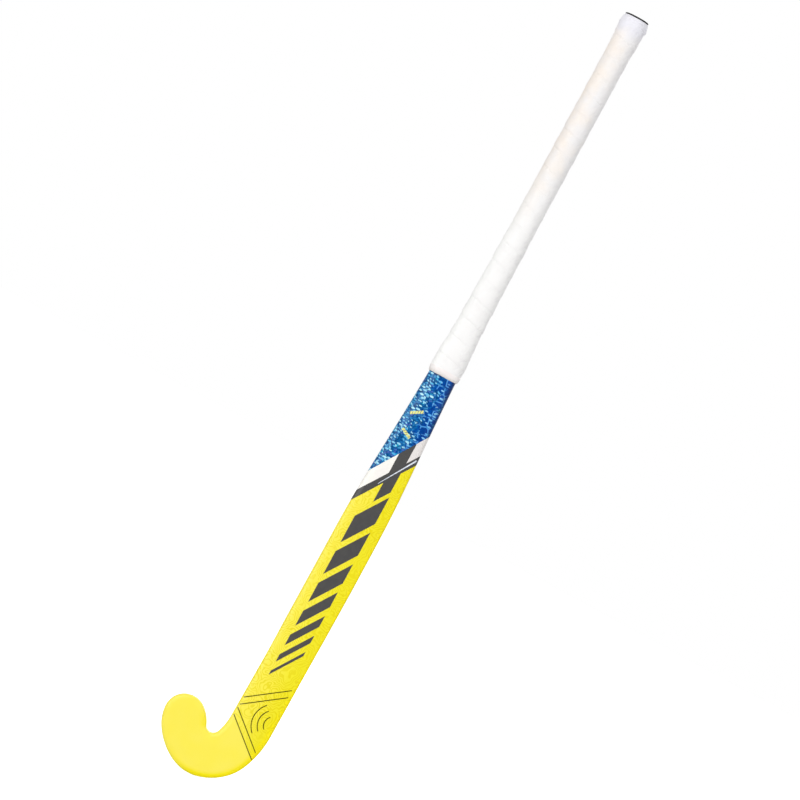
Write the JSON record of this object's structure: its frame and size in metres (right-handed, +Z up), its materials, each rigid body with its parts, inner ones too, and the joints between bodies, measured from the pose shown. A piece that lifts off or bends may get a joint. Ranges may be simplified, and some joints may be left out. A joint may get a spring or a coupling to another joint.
{
  "type": "field hockey stick",
  "caption": "Composite field hockey stick with a flat face, a bowed shaft, a hooked head, a white taped handle and a yellow finish with blue, white and dark slanted bands.",
  "frame": {"origin": "on the handle's axis at the top hand, 100 mm below the butt's end", "axes": "+Z up the shaft towards the butt, -Y out of the flat playing face, -X towards the toe of the hook"},
  "size_m": [0.1158, 0.048, 0.927],
  "materials": {
    "lacquer_yellow": "clear-coated yellow laminate with a faint contour-line print",
    "bare_laminate": "bare fibre laminate",
    "core_foam": "closed-cell foam",
    "plug_foam": "closed-cell foam",
    "cap_rubber": "matt black rubber",
    "backing_adhesive": "adhesive backing",
    "grip_cushion": "soft white cushion tape with a leather-like surface",
    "finish_tape": "smooth satin tape",
    "film_blue": "clear-coated print of blue, cyan and white lozenges",
    "film_white": "clear-coated off-white print",
    "film_dark": "satin dark grey print",
    "film_clear": "clear film with thin dark lines"
  },
  "bodies": {
    "root": {"shaft_shell": "lacquer_yellow", "inner_tube_heel": "bare_laminate", "inner_tube_toe": "bare_laminate", "head_core": "core_foam", "butt_plug": "plug_foam", "end_cap": "cap_rubber", "grip_backing": "backing_adhesive", "grip_tape": "grip_cushion", "grip_finish_tape": "finish_tape", "mosaic_wrap": "film_blue", "white_wrap": "film_white", "slanted_band": "film_dark", "upright_band": "film_dark", "head_line_film": "film_clear", "face_bar_1": "film_dark", "face_bar_2": "film_dark", "face_bar_3": "film_dark", "face_bar_4": "film_dark", "face_bar_5": "film_dark", "face_bar_6": "film_dark", "face_bar_7": "film_dark"}
  },
  "joints": []
}
